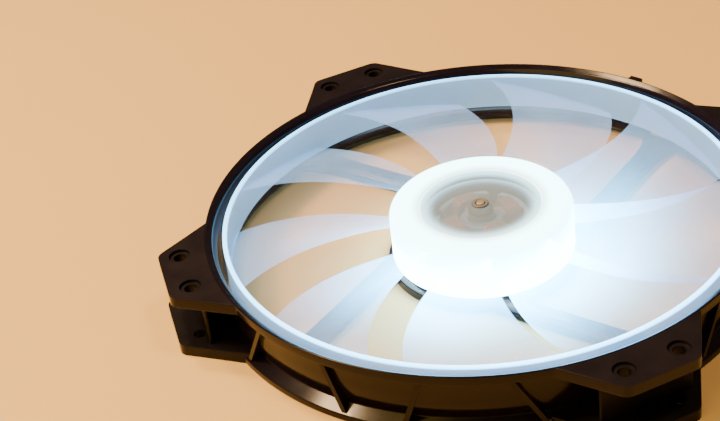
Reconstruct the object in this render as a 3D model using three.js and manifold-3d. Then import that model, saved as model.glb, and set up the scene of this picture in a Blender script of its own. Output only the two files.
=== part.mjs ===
// Lit case fan, 200 x 200 x 25 mm, lying on its exhaust face.
// Millimetres, +Z up. Origin: centre of the square footprint, on the exhaust face (Z = 0).
// The 180 mm hole pitch runs along X. The rotor turns about +Z.

import * as THREE from 'three';
import Module from 'manifold-3d';

const wasm = await Module();
wasm.setup();

// ---------------------------------------------------------------- driving dimensions

const GAP = 0.3; // clearance between neighbouring pieces
const OVER = 1; // how far a cutter runs past the faces it cuts

const RING_R = 100; // outside radius of the frame's crest and lower flange
const FRAME_H = 25; // overall thickness
const FLANGE_T = 5; // sloping lower flange, thickness at the duct wall
const FLANGE_RIM_T = 2.6; // and at its outer edge
const BAND_Z = 21.2; // underside of the upper band
const WALL_FOOT_R = 95.7; // outside of the duct wall where it meets the flange
const WALL_WAIST = [97.4, 11]; // where the wall straightens: radius, height
const WALL_R = 98; // outside of the duct wall under the upper band
const THROAT_R = 96; // duct radius round the impeller
const THROAT_Z = [10.6, 21]; // height of the straight throat
const EXIT_R = 94.4; // duct radius below the impeller
const EXIT_Z = [4, 6.2]; // height of that narrow part
const EXIT_LIP_R = 98.3; // flared exit at the exhaust face
const MOUTH = [
  [96.5, 22.5],
  [97.6, 24],
]; // rounded intake lip between the throat and the crest: radius, height
const CREST_IN_R = 99.4; // inner edge of the crest
const EDGE = 0.4; // bevel along the frame's outer edges

const EAR_DEG = 39.9; // direction of each mounting corner from the X axis
const EAR_END = 116.3; // distance from the axis to a corner's outer edge
const EAR_HALF = 13.3; // half width of the outer edge
const EAR_ROOT = 92; // where its sides would meet the duct, inside the wall
const EAR_ROOT_HALF = 30.1;
const EAR_ROUND = 2.2; // rounding of the corners in plan
const PLATE_T = 4.2; // thickness of each corner plate
const WEB_T = 2.4; // radial web between the plates
const WEB_SINK = 0.2; // how far the webs run into the plates
const CROSS_X = 105.6; // cross web between the plates
const CROSS_T = 1.2;
const CROSS_HALF = 17.2;
const HOLE_R = 2.25;
const DISH_R = 4; // shallow counterbore round each hole
const DISH_DEPTH = 1;
const HOLES = [
  [90, 62],
  [77, 77],
]; // one quadrant: patterns 180 x 124 and 154 x 154

const RIB_T = 1.9;
const RIB_INSET = 0.6; // how far a rib starts inside the wall and stops short of the rim
const RIB_SINK = 0.4; // how far it runs into the flange and the band
const LONG_ARC_RIBS = [
  [6, 10],
  [33, 26.5],
]; // degrees from the arc's middle: foot, head
const SHORT_ARC_RIBS = [
  [3, 6],
  [23, 17],
];

const STRUT_DEG = 170; // direction of the first strut
const STRUT_OFFSET = 25; // how far each strut's centre line passes from the axis
const STRUT_SPAN = [4, 98.5]; // along the strut, before it is cut to the base and the duct
const STRUT_HALF = 4;
const STRUT_FLARE = 8.5; // half width where a strut meets the duct
const FLARE_LENGTH = 16;
const FLARE_BEND = 6;
const STRUT_Z = [0.6, 3.8];
const LEAD_STRUT = 3; // index of the strut that carries the wiring groove
const LEAD_GROOVE_HALF = 2.4;
const LEAD_GROOVE_DEPTH = 1.6;
const LEAD_OUTLET_HALF = 4;
const LEAD_OUTLET_X = [86, 110]; // the cut through the duct wall
const LEAD_OUTLET_Z = [3.8, 9.4];
const HOOK_DEG = 74; // small hook on the upper band
const HOOK_END = 103;
const HOOK_HALF = 2.6;

const BASE_R = 35;
const BASE_RIM_Z = 3.6;
const BASE_RIM_T = 1.3;
const BASE_FLOOR_Z = 2.6;
const BASE_POCKET_Z = 1.7; // floor of the pocket that holds the bearing tube
const LABEL_R = 30;
const LABEL_Z = [0.1, 0.6];

const BLADES = 9;
const BLADE_SPAN_DEG = 31; // at the shroud
const BLADE_ROOT_SPAN_DEG = 34;
const BLADE_SWEEP_DEG = 13; // how far the tip runs ahead of the root
const BLADE_T = 1.5;
const BLADE_EDGE = 0.45; // share of the thickness kept at the leading and trailing edges
const BLADE_Z = [11.6, 21.6]; // trailing edge, leading edge
const BLADE_CAMBER = 1.6;
const SHROUD_R = 93.7;
const SHROUD_T = 1.6;
const SHROUD_Z = [9.3, 23.75];

const HUB_R = 33.3;
const HUB_WALL = 1.7;
const HUB_TOP_T = 1.9;
const HUB_Z = [5, 23.3];
const HUB_ROUND = [
  [0, 3],
  [0.5, 1.6],
  [1.7, 0.5],
  [3.2, 0],
]; // the rounded top edge: inwards from the side, down from the top
const COLLAR_Z = 14; // foot of the collar that holds the window and the flux ring
const COLLAR_T = 1.2;
const WINDOW_R = 22;
const WINDOW_Z = [21.5, 23];
const BOSS_R = 8.2; // thicker middle of the window
const BOSS_Z = 19.9;

const SHAFT_R = 1.5;
const SHAFT_Z = [3.1, 23.6];
const BUSH_R = 4.6;
const BUSH_NECK_R = 2.9;
const BUSH_Z = [18.2, 21.2, 23.4]; // foot, shoulder, top
const FLUX_R = [20.6, 22];
const FLUX_Z = [6.8, 21.1];
const MAGNET_R = [17.8, 20.3];
const MAGNET_Z = [7.2, 18.2];

const POLES = 4;
const POLE_DEG = 50; // direction of the first stator pole
const CORE_Z = [10.7, 15.7];
const CORE_HUB_R = 7.6; // outside of the laminations' middle ring
const NECK_HALF = 2;
const SHOE_R = 17.3;
const SHOE_T = 1.8;
const SHOE_HALF = 9.8;
const INSULATOR_T = 1;
const INSULATOR_NECK_HALF = 2.4;
const COIL_X = [8.4, 14.1]; // along the pole
const COIL_HALF = 5.2; // across the pole
const COIL_REACH = 4; // above and below the laminations
const COIL_ROUND = 2.2;
const COIL_HOLE_HALF = 2.8;
const COIL_HOLE_REACH = 1.7;

const TUBE_R = [4, 5];
const TUBE_Z = [2, 17.4];
const BEARING_Z = [4.8, 15.4];
const SEAL_Z = [15.8, 16.5];
const CLIP_Z = [3.5, 4.1];
const CLIP_SLOT_HALF = 0.7;
const PAD_R = 3.5;
const PAD_T = 0.8;

const PCB_Z = [2.9, 4.1];
const PCB_R = [6, 30.6];
const NOTCH_HALF = 2.5; // notch in the board's edge where the leads leave
const NOTCH_BEFORE_DEG = 54; // measured back from the lead strut
const LEDS = 8;
const LED_DEG = 12;
const LED_RING_R = 27.4;
const LED_HALF = [1.4, 1.75];
const LED_BODY_H = 1.3;
const LED_LENS_R = 1.1;
const LED_H = 1.8;
const SENSOR = { x: [17.6, 19.4], half: 2, height: 1.5, after: 45 };
const DRIVER = { x: [11, 15], half: 2.5, height: 1.4, after: 135 };
const CAPACITOR = { x: 13, radius: 1.9, height: 1.8, after: 225 };

const FRAME_SEGMENTS = 60;
const HUB_SEGMENTS = 48;
const SMALL_SEGMENTS = 24;
const HOLE_SEGMENTS = 14;

// ---------------------------------------------------------------- materials

const makeMaterial = (name, color, roughness, metalness, opacity = 1) => {
  const material = new THREE.MeshStandardMaterial({ color, roughness, metalness });
  material.name = name;
  material.opacity = opacity;
  material.transparent = opacity < 1;
  return material;
};

const glossBlack = () => makeMaterial('gloss_black', 0x0b0908, 0.18, 0);
const satinBlack = () => makeMaterial('satin_black', 0x120e0b, 0.4, 0);
const milky = () => makeMaterial('milky', 0xdcebf5, 0.3, 0, 0.6);
const glowing = () => makeMaterial('glowing_hub', 0xeefaff, 0.35, 0, 0.9);
const clearGrey = () => makeMaterial('clear_window', 0xb4bcc2, 0.1, 0, 0.45);
const copper = () => makeMaterial('copper', 0xb8643a, 0.35, 0.9);
const steel = () => makeMaterial('steel', 0x9a9da1, 0.3, 1);
const ferrite = () => makeMaterial('ferrite', 0x3a3a3c, 0.7, 0.1);
const whitePlastic = () => makeMaterial('white_plastic', 0xd8d6cf, 0.5, 0);
const darkPlastic = () => makeMaterial('dark_plastic', 0x191817, 0.5, 0);
const bronze = () => makeMaterial('bronze', 0x8f6a3c, 0.5, 0.8);
const brass = () => makeMaterial('brass', 0xb8954f, 0.35, 0.9);
const laminate = () => makeMaterial('laminate', 0x1d4a2c, 0.45, 0);
const ledWhite = () => makeMaterial('led', 0xd7f3ff, 0.3, 0);
const paper = () => makeMaterial('label', 0x2a2a2c, 0.6, 0);

// ---------------------------------------------------------------- solid helpers

const rad = (deg) => (deg * Math.PI) / 180;
const lerp = (a, b, t) => a + (b - a) * t;

// Six times the signed volume, to tell an inside-out shell.
function signedVolume(positions, triangles) {
  const [a, b, c] = [new THREE.Vector3(), new THREE.Vector3(), new THREE.Vector3()];
  let volume = 0;
  for (let i = 0; i < triangles.length; i += 3) {
    a.fromArray(positions, 3 * triangles[i]);
    b.fromArray(positions, 3 * triangles[i + 1]);
    c.fromArray(positions, 3 * triangles[i + 2]);
    volume += a.dot(b.cross(c));
  }
  return volume;
}

// Welds vertices by rounded position and drops triangles that collapse.
function weld(geometry) {
  const source = geometry.index ? geometry.toNonIndexed() : geometry;
  const position = source.getAttribute('position');
  const seen = new Map();
  const points = [];
  const ids = [];
  for (let i = 0; i < position.count; i += 1) {
    const p = [position.getX(i), position.getY(i), position.getZ(i)];
    const key = p.map((v) => Math.round(v * 1e4)).join(' ');
    if (!seen.has(key)) {
      seen.set(key, points.length / 3);
      points.push(...p);
    }
    ids.push(seen.get(key));
  }
  const triangles = [];
  for (let i = 0; i < ids.length; i += 3) {
    const [a, b, c] = [ids[i], ids[i + 1], ids[i + 2]];
    if (a !== b && b !== c && c !== a) triangles.push(a, b, c);
  }
  return { points, triangles };
}

function toSolid(geometry) {
  const { points, triangles } = weld(geometry);
  if (signedVolume(points, triangles) < 0) triangles.reverse();
  const mesh = new wasm.Mesh({
    numProp: 3,
    vertProperties: new Float32Array(points),
    triVerts: new Uint32Array(triangles),
  });
  return new wasm.Manifold(mesh);
}

function toGeometry(solid) {
  const mesh = solid.getMesh();
  const geometry = new THREE.BufferGeometry();
  geometry.setAttribute('position', new THREE.BufferAttribute(mesh.vertProperties, 3));
  geometry.setIndex(new THREE.BufferAttribute(mesh.triVerts, 1));
  const flat = geometry.toNonIndexed();
  flat.computeVertexNormals();
  return flat;
}

const union = (solids) => solids.reduce((sum, solid) => sum.add(solid));

// Turns a closed (radius, z) outline about Z.
function turned(outline, segments) {
  const points = outline.map(([r, z]) => new THREE.Vector2(r, z));
  if (outline[0][0] > 0) points.push(points[0].clone());
  const geometry = new THREE.LatheGeometry(points, segments);
  geometry.rotateX(Math.PI / 2);
  return toSolid(geometry);
}

const tube = (rIn, rOut, z0, z1, segments = SMALL_SEGMENTS) =>
  turned([[rIn, z0], [rOut, z0], [rOut, z1], [rIn, z1]], segments);

const disc = (r, z0, z1, segments = SMALL_SEGMENTS) =>
  turned([[0, z0], [r, z0], [r, z1], [0, z1]], segments);

const moved = (solid, x, y, z) => solid.translate([x, y, z]);
const spun = (solid, deg) => solid.rotate([0, 0, deg]);

function block(x0, x1, y0, y1, z0, z1) {
  const geometry = new THREE.BoxGeometry(x1 - x0, y1 - y0, z1 - z0);
  geometry.translate((x0 + x1) / 2, (y0 + y1) / 2, (z0 + z1) / 2);
  return toSolid(geometry);
}

// Extrudes a closed (x, y) outline from z0 to z1.
function prism(shape, z0, z1) {
  const options = { depth: z1 - z0, bevelEnabled: false, curveSegments: 4 };
  const geometry = new THREE.ExtrudeGeometry(shape, options);
  geometry.translate(0, 0, z0);
  return toSolid(geometry);
}

// A unit box cut into cells, each vertex (u, v, w in 0..1) placed by a function.
function mappedBox(cells, place) {
  const geometry = new THREE.BoxGeometry(1, 1, 1, ...cells);
  const position = geometry.getAttribute('position');
  for (let i = 0; i < position.count; i += 1) {
    const [u, v, w] = [position.getX(i), position.getY(i), position.getZ(i)];
    position.setXYZ(i, ...place(u + 0.5, v + 0.5, w + 0.5));
  }
  return toSolid(geometry);
}

// A polygon with its sharp corners rounded by a quadratic curve.
function roundedShape(corners, radius) {
  const shape = new THREE.Shape();
  const count = corners.length;
  corners.forEach((corner, i) => {
    const here = new THREE.Vector2(...corner);
    const before = new THREE.Vector2(...corners[(i + count - 1) % count]);
    const after = new THREE.Vector2(...corners[(i + 1) % count]);
    const enter = here.clone().add(before.sub(here).setLength(radius));
    const leave = here.clone().add(after.sub(here).setLength(radius));
    if (i === 0) shape.moveTo(enter.x, enter.y);
    else shape.lineTo(enter.x, enter.y);
    shape.quadraticCurveTo(here.x, here.y, leave.x, leave.y);
  });
  shape.closePath();
  return shape;
}

// ---------------------------------------------------------------- frame

const earDirections = [EAR_DEG, 180 - EAR_DEG, 180 + EAR_DEG, 360 - EAR_DEG];

function ductOutside() {
  return turned(
    [
      [0, 0],
      [RING_R - EDGE, 0],
      [RING_R, EDGE],
      [RING_R, FLANGE_RIM_T],
      [WALL_FOOT_R, FLANGE_T],
      WALL_WAIST,
      [WALL_R, BAND_Z],
      [RING_R, BAND_Z + EDGE],
      [RING_R, FRAME_H - EDGE],
      [RING_R - EDGE, FRAME_H],
      [0, FRAME_H],
    ],
    FRAME_SEGMENTS,
  );
}

function ductVoid() {
  return turned(
    [
      [0, -OVER],
      [EXIT_LIP_R, -OVER],
      [EXIT_LIP_R, 0],
      [EXIT_R, EXIT_Z[0]],
      [EXIT_R, EXIT_Z[1]],
      [THROAT_R, THROAT_Z[0]],
      [THROAT_R, THROAT_Z[1]],
      ...MOUTH,
      [CREST_IN_R, FRAME_H],
      [CREST_IN_R, FRAME_H + OVER],
      [0, FRAME_H + OVER],
    ],
    FRAME_SEGMENTS,
  );
}

// Two open plates joined by a radial web and a cross web, cut clear of the duct.
function mountingCorner(direction) {
  const outline = [
    [EAR_ROOT, -EAR_ROOT_HALF],
    [EAR_END, -EAR_HALF],
    [EAR_END, EAR_HALF],
    [EAR_ROOT, EAR_ROOT_HALF],
  ];
  const shape = roundedShape(outline, EAR_ROUND);
  const webZ = [PLATE_T - WEB_SINK, FRAME_H - PLATE_T + WEB_SINK];
  const corner = union([
    prism(shape, 0, PLATE_T),
    prism(shape, FRAME_H - PLATE_T, FRAME_H),
    block(EAR_ROOT, CROSS_X, -WEB_T / 2, WEB_T / 2, ...webZ),
    block(CROSS_X - CROSS_T / 2, CROSS_X + CROSS_T / 2, -CROSS_HALF, CROSS_HALF, ...webZ),
  ]);
  const ductRoom = disc(RING_R + GAP, -OVER, FRAME_H + OVER, FRAME_SEGMENTS);
  return spun(corner, direction).subtract(ductRoom).subtract(mountingHoles());
}

function mountingHoles() {
  const cutters = [];
  for (const [x, y] of HOLES) {
    for (const [sx, sy] of [[1, 1], [-1, 1], [-1, -1], [1, -1]]) {
      const hole = disc(HOLE_R, -OVER, FRAME_H + OVER, HOLE_SEGMENTS);
      const topDish = disc(DISH_R, FRAME_H - DISH_DEPTH, FRAME_H + OVER, HOLE_SEGMENTS);
      const bottomDish = disc(DISH_R, -OVER, DISH_DEPTH, HOLE_SEGMENTS);
      cutters.push(moved(union([hole, topDish, bottomDish]), sx * x, sy * y, 0));
    }
  }
  return union(cutters);
}

// A slanted stiffening rib between the lower flange and the upper band.
function rib(middle, footDeg, headDeg) {
  const halfDeg = THREE.MathUtils.radToDeg(RIB_T / 2 / RING_R);
  return mappedBox([1, 1, 1], (u, v, w) => {
    const angle = rad(middle + lerp(footDeg, headDeg, w) + lerp(-halfDeg, halfDeg, u));
    const radius = lerp(WALL_FOOT_R - RIB_INSET, RING_R - RIB_INSET, v);
    const z = lerp(FLANGE_RIM_T - RIB_SINK, BAND_Z + RIB_SINK, w);
    return [radius * Math.cos(angle), radius * Math.sin(angle), z];
  });
}

function allRibs() {
  const ribs = [];
  for (const middle of [0, 90, 180, 270]) {
    const pattern = middle % 180 === 0 ? SHORT_ARC_RIBS : LONG_ARC_RIBS;
    for (const [foot, head] of pattern) {
      ribs.push(rib(middle, foot, head), rib(middle, -foot, -head));
    }
  }
  return union(ribs);
}

const strutDirection = (index) => STRUT_DEG + 90 * index;

// A tangential strut from the motor base to the duct wall, flared at its outer end.
function strut(index) {
  const [start, end] = STRUT_SPAN;
  const shape = new THREE.Shape();
  shape.moveTo(start, -STRUT_HALF);
  shape.lineTo(end - FLARE_LENGTH, -STRUT_HALF);
  shape.quadraticCurveTo(end - FLARE_BEND, -STRUT_HALF, end, -STRUT_FLARE);
  shape.lineTo(end, STRUT_FLARE);
  shape.quadraticCurveTo(end - FLARE_BEND, STRUT_HALF, end - FLARE_LENGTH, STRUT_HALF);
  shape.lineTo(start, STRUT_HALF);
  shape.closePath();
  const bar = moved(prism(shape, ...STRUT_Z), 0, -STRUT_OFFSET, 0);
  const placed = spun(bar, strutDirection(index));
  const whole = placed.intersect(strutReach());
  return index === LEAD_STRUT ? whole.subtract(leadGroove()) : whole;
}

// The room between the motor base and the flared exit, less the clearance.
function strutReach() {
  const across = 1.5 * GAP; // keeps the sloping faces a full clearance apart
  return turned(
    [
      [BASE_R + GAP, -OVER],
      [EXIT_LIP_R - across, -OVER],
      [EXIT_LIP_R - across, 0],
      [EXIT_R - across, EXIT_Z[0]],
      [EXIT_R - across, EXIT_Z[0] + OVER],
      [BASE_R + GAP, EXIT_Z[0] + OVER],
    ],
    FRAME_SEGMENTS,
  );
}

// Groove for the wiring along one strut.
function leadGroove() {
  const top = STRUT_Z[1];
  const groove = block(
    0,
    RING_R,
    -LEAD_GROOVE_HALF,
    LEAD_GROOVE_HALF,
    top - LEAD_GROOVE_DEPTH,
    top + OVER,
  );
  return spun(moved(groove, 0, -STRUT_OFFSET, 0), strutDirection(LEAD_STRUT));
}

// The wiring's way out through the duct wall, in line with that strut.
function leadOutlet() {
  const half = LEAD_OUTLET_HALF;
  const outlet = block(...LEAD_OUTLET_X, -half, half, ...LEAD_OUTLET_Z);
  return spun(moved(outlet, 0, -STRUT_OFFSET, 0), strutDirection(LEAD_STRUT));
}

// A shallow tray with a pocket below for the label and one above for the bearing tube.
function motorBase() {
  const tray = turned(
    [
      [0, 0],
      [BASE_R - EDGE, 0],
      [BASE_R, EDGE],
      [BASE_R, BASE_RIM_Z],
      [BASE_R - BASE_RIM_T, BASE_RIM_Z],
      [BASE_R - BASE_RIM_T, BASE_FLOOR_Z],
      [0, BASE_FLOOR_Z],
    ],
    HUB_SEGMENTS,
  );
  const labelPocket = disc(LABEL_R + GAP, -OVER, LABEL_Z[1] + GAP, HUB_SEGMENTS);
  const tubePocket = disc(TUBE_R[1] + GAP, BASE_POCKET_Z, BASE_FLOOR_Z + OVER, SMALL_SEGMENTS);
  return tray.subtract(labelPocket).subtract(tubePocket);
}

// Small hook on the upper band that steers the lead away from the duct.
function leadHook() {
  const inside = RING_R - OVER;
  const hook = block(inside, HOOK_END, -HOOK_HALF, HOOK_HALF, BAND_Z + EDGE, FRAME_H - EDGE);
  return spun(hook, HOOK_DEG);
}

function frameDuct() {
  return union([ductOutside(), allRibs(), leadHook()]).subtract(ductVoid()).subtract(leadOutlet());
}

// ---------------------------------------------------------------- rotor

// One curved blade. u runs from trailing to leading edge, v from hub to shroud.
function blade(index) {
  const rIn = HUB_R + GAP;
  const rOut = SHROUD_R - SHROUD_T - GAP;
  return mappedBox([6, 5, 1], (u, v, w) => {
    const radius = lerp(rIn, rOut, v);
    const span = lerp(BLADE_ROOT_SPAN_DEG, BLADE_SPAN_DEG, v);
    const sweep = BLADE_SWEEP_DEG * v * v;
    const angle = rad((360 / BLADES) * index + span * (u - 0.5) + sweep);
    const hump = Math.sin(Math.PI * u);
    const thickness = BLADE_T * lerp(BLADE_EDGE, 1, hump);
    const z = lerp(...BLADE_Z, u) - BLADE_CAMBER * hump + thickness * (w - 0.5);
    return [radius * Math.cos(angle), radius * Math.sin(angle), z];
  });
}

function impellerRing() {
  const rIn = SHROUD_R - SHROUD_T;
  return turned(
    [
      [rIn, SHROUD_Z[0]],
      [SHROUD_R, SHROUD_Z[0]],
      [SHROUD_R, SHROUD_Z[1] - EDGE],
      [SHROUD_R - EDGE, SHROUD_Z[1]],
      [rIn + EDGE, SHROUD_Z[1]],
      [rIn, SHROUD_Z[1] - EDGE],
    ],
    FRAME_SEGMENTS,
  );
}

// A cup, open below, with a collar round the hole in its top.
function impellerHub() {
  const [low, high] = HUB_Z;
  const rWall = HUB_R - HUB_WALL;
  const rCollar = WINDOW_R + GAP;
  return turned(
    [
      [rWall, low],
      [HUB_R, low],
      ...HUB_ROUND.map(([inwards, down]) => [HUB_R - inwards, high - down]),
      [rCollar, high],
      [rCollar, COLLAR_Z],
      [rCollar + COLLAR_T, COLLAR_Z],
      [rCollar + COLLAR_T, high - HUB_TOP_T],
      [rWall, high - HUB_TOP_T],
    ],
    HUB_SEGMENTS,
  );
}

// Clear disc with a thicker boss round the shaft bush.
function hubWindow() {
  const [low, high] = WINDOW_Z;
  return turned(
    [
      [BUSH_NECK_R + GAP, low],
      [BUSH_R + GAP, low],
      [BUSH_R + GAP, BOSS_Z],
      [BOSS_R, BOSS_Z],
      [BOSS_R, low],
      [WINDOW_R, low],
      [WINDOW_R, high],
      [BUSH_NECK_R + GAP, high],
    ],
    HUB_SEGMENTS,
  );
}

const fluxRing = () => tube(...FLUX_R, ...FLUX_Z, HUB_SEGMENTS);
const magnetRing = () => tube(...MAGNET_R, ...MAGNET_Z, HUB_SEGMENTS);
const shaft = () => disc(SHAFT_R, ...SHAFT_Z);

function shaftBush() {
  const rIn = SHAFT_R + GAP;
  const [foot, shoulder, top] = BUSH_Z;
  return turned(
    [
      [rIn, foot],
      [BUSH_R, foot],
      [BUSH_R, shoulder],
      [BUSH_NECK_R, shoulder],
      [BUSH_NECK_R, top],
      [rIn, top],
    ],
    SMALL_SEGMENTS,
  );
}

// ---------------------------------------------------------------- stator

const poleDirection = (index) => POLE_DEG + (360 / POLES) * index;

// A middle ring with T-shaped poles, as the laminations and their insulators have.
function poleStack(neckHalf, z0, z1) {
  const shoes = tube(SHOE_R - SHOE_T, SHOE_R, z0, z1, HUB_SEGMENTS);
  const stack = [tube(TUBE_R[1] + GAP, CORE_HUB_R, z0, z1)];
  for (let i = 0; i < POLES; i += 1) {
    const neck = block(CORE_HUB_R - OVER, SHOE_R - SHOE_T / 2, -neckHalf, neckHalf, z0, z1);
    const slice = block(CORE_HUB_R, SHOE_R + OVER, -SHOE_HALF, SHOE_HALF, z0, z1);
    stack.push(spun(neck.add(shoes.intersect(slice)), poleDirection(i)));
  }
  return union(stack);
}

const statorCore = () => poleStack(NECK_HALF, ...CORE_Z);

function upperInsulator() {
  const low = CORE_Z[1] + GAP;
  return poleStack(INSULATOR_NECK_HALF, low, low + INSULATOR_T);
}

function lowerInsulator() {
  const high = CORE_Z[0] - GAP;
  return poleStack(INSULATOR_NECK_HALF, high - INSULATOR_T, high);
}

// A winding round one pole neck.
function coil(index) {
  const low = CORE_Z[0] - COIL_REACH;
  const high = CORE_Z[1] + COIL_REACH;
  const half = COIL_HALF;
  const shape = roundedShape([[-half, low], [half, low], [half, high], [-half, high]], COIL_ROUND);
  const options = { depth: COIL_X[1] - COIL_X[0], bevelEnabled: false, curveSegments: 3 };
  const geometry = new THREE.ExtrudeGeometry(shape, options);
  geometry.rotateX(Math.PI / 2);
  geometry.rotateZ(Math.PI / 2);
  geometry.translate(COIL_X[0], 0, 0);
  const hole = block(
    COIL_X[0] - OVER,
    COIL_X[1] + OVER,
    -COIL_HOLE_HALF,
    COIL_HOLE_HALF,
    CORE_Z[0] - COIL_HOLE_REACH,
    CORE_Z[1] + COIL_HOLE_REACH,
  );
  return spun(toSolid(geometry).subtract(hole), poleDirection(index));
}

const bearingTube = () => tube(...TUBE_R, ...TUBE_Z);
const sleeveBearing = () => tube(SHAFT_R + GAP, TUBE_R[0] - GAP, ...BEARING_Z);
const thrustPad = () => disc(PAD_R, TUBE_Z[0], TUBE_Z[0] + PAD_T);
const oilSeal = () => tube(SHAFT_R + GAP, TUBE_R[0] - GAP, ...SEAL_Z);

// Split ring that keeps the shaft in the bearing.
function retainingClip() {
  const ring = tube(SHAFT_R + GAP, PAD_R, ...CLIP_Z);
  const slot = block(0, TUBE_R[1], -CLIP_SLOT_HALF, CLIP_SLOT_HALF, 0, CLIP_Z[1] + OVER);
  return ring.subtract(slot);
}

// ---------------------------------------------------------------- electronics

function motorBoard() {
  const board = tube(...PCB_R, ...PCB_Z, HUB_SEGMENTS);
  const edge = PCB_R[1];
  const notch = block(edge - NOTCH_HALF, edge + OVER, -NOTCH_HALF, NOTCH_HALF, 0, FRAME_H);
  return board.subtract(spun(notch, strutDirection(LEAD_STRUT) - NOTCH_BEFORE_DEG));
}

const onBoard = PCB_Z[1] + GAP;

function led(index) {
  const [x, y] = LED_HALF;
  const body = block(-x, x, -y, y, onBoard, onBoard + LED_BODY_H);
  const lens = disc(LED_LENS_R, onBoard + LED_BODY_H / 2, onBoard + LED_H, HOLE_SEGMENTS);
  const placed = moved(body.add(lens), LED_RING_R, 0, 0);
  return spun(placed, LED_DEG + (360 / LEDS) * index);
}

// A flat chip on the board, placed by its direction after the first pole's.
function chip({ x, half, height, after }) {
  return spun(block(...x, -half, half, onBoard, onBoard + height), POLE_DEG + after);
}

function capacitor() {
  const { x, radius, height, after } = CAPACITOR;
  return spun(moved(disc(radius, onBoard, onBoard + height), x, 0, 0), POLE_DEG + after);
}

const rearLabel = () => disc(LABEL_R, ...LABEL_Z, HUB_SEGMENTS);

// ---------------------------------------------------------------- assembly

const part = new THREE.Group();
part.name = 'case_fan';

function addPiece(name, solid, material) {
  const mesh = new THREE.Mesh(toGeometry(solid), material);
  mesh.name = name;
  part.add(mesh);
}

addPiece('frame_duct', frameDuct(), glossBlack());
earDirections.forEach((direction, i) => {
  addPiece(`frame_corner_${i + 1}`, mountingCorner(direction), satinBlack());
});
for (let i = 0; i < 4; i += 1) addPiece(`frame_strut_${i + 1}`, strut(i), glossBlack());
addPiece('motor_base', motorBase(), glossBlack());
addPiece('bearing_tube', bearingTube(), brass());
addPiece('sleeve_bearing', sleeveBearing(), bronze());
addPiece('thrust_pad', thrustPad(), whitePlastic());
addPiece('retaining_clip', retainingClip(), darkPlastic());
addPiece('oil_seal', oilSeal(), darkPlastic());
addPiece('stator_core', statorCore(), steel());
addPiece('insulator_upper', upperInsulator(), whitePlastic());
addPiece('insulator_lower', lowerInsulator(), whitePlastic());
for (let i = 0; i < POLES; i += 1) addPiece(`coil_${i + 1}`, coil(i), copper());
addPiece('motor_board', motorBoard(), laminate());
addPiece('hall_sensor', chip(SENSOR), darkPlastic());
addPiece('driver_chip', chip(DRIVER), darkPlastic());
addPiece('capacitor', capacitor(), steel());
for (let i = 0; i < LEDS; i += 1) addPiece(`led_${i + 1}`, led(i), ledWhite());
addPiece('rear_label', rearLabel(), paper());
addPiece('impeller_hub', impellerHub(), glowing());
addPiece('impeller_ring', impellerRing(), milky());
for (let i = 0; i < BLADES; i += 1) addPiece(`blade_${i + 1}`, blade(i), milky());
addPiece('hub_window', hubWindow(), clearGrey());
addPiece('shaft_bush', shaftBush(), darkPlastic());
addPiece('shaft', shaft(), steel());
addPiece('flux_ring', fluxRing(), steel());
addPiece('magnet_ring', magnetRing(), ferrite());

export default part;
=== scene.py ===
"""Visual model of a lit 200 mm case fan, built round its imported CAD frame."""

import math

import bmesh
import bpy
from mathutils import Matrix, Vector


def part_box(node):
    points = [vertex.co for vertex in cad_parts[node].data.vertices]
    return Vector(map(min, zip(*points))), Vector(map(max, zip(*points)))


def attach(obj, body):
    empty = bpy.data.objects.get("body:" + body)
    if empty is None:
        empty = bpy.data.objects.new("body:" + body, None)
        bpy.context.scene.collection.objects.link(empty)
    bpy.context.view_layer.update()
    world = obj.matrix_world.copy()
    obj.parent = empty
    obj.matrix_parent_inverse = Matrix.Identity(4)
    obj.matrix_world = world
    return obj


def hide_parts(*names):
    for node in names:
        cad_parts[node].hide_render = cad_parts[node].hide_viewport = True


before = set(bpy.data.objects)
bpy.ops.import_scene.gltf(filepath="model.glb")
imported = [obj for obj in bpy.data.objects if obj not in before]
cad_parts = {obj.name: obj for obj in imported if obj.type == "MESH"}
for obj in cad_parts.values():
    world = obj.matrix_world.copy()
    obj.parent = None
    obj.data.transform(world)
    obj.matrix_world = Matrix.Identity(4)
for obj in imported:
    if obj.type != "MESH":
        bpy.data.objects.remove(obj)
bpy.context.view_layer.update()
MM = 0.001


# ---------------------------------------------------------------- sizes, in millimetres

def radius_of(node):
    """Outer radius of a round node centred on the shaft."""
    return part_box(node)[1].x / MM


def span_z(node):
    low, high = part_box(node)
    return low.z / MM, high.z / MM


# Duct, from the outside in
RING_R = radius_of("frame_duct")
FRAME_H = span_z("frame_duct")[1]
FLANGE_T = 5.0  # lower flange at the duct wall
FLANGE_RIM_T = 2.6  # lower flange at its rim
BAND_Z = 21.2  # underside of the upper band
WALL_FOOT_R = 95.7
WALL_WAIST = (97.4, 11.0)
WALL_R = 98.0
THROAT_R = 96.0
THROAT_Z = (10.6, 20.6)
MOUTH = ((96.5, 22.5), (97.6, 24.0))  # curve between throat and crest
CREST_IN_R = 99.4
CREST_IN_Z = 24.95
EXIT_R = 94.4
EXIT_Z = (4.0, 6.2)
EXIT_LIP_R = 98.3
OVER = 1.0  # how far a cutting shape runs past the face it cuts

# Mounting corners
EAR_DEG = 39.9
EAR_END = 116.3
EAR_HALF = 13.3
EAR_ROOT = 94.0
EAR_SLOPE = 0.69
EAR_DIRECTIONS = (EAR_DEG, 180 - EAR_DEG, 180 + EAR_DEG, 360 - EAR_DEG)
PLATE_T = 4.2
PLATE_EDGE = 0.45
WEB_T = 2.4
WALL_SINK = 0.6  # how far a wall is let into the plates above and below
CROSS_X = 105.6
CROSS_T = 1.2
CROSS_HALF = 17.2
HOLE_R = 2.25
DISH_R = 4.0
DISH_DEPTH = 1.0
DISH_TAPER = 0.3
HOLES = ((90.0, 62.0), (77.0, 77.0))

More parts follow.
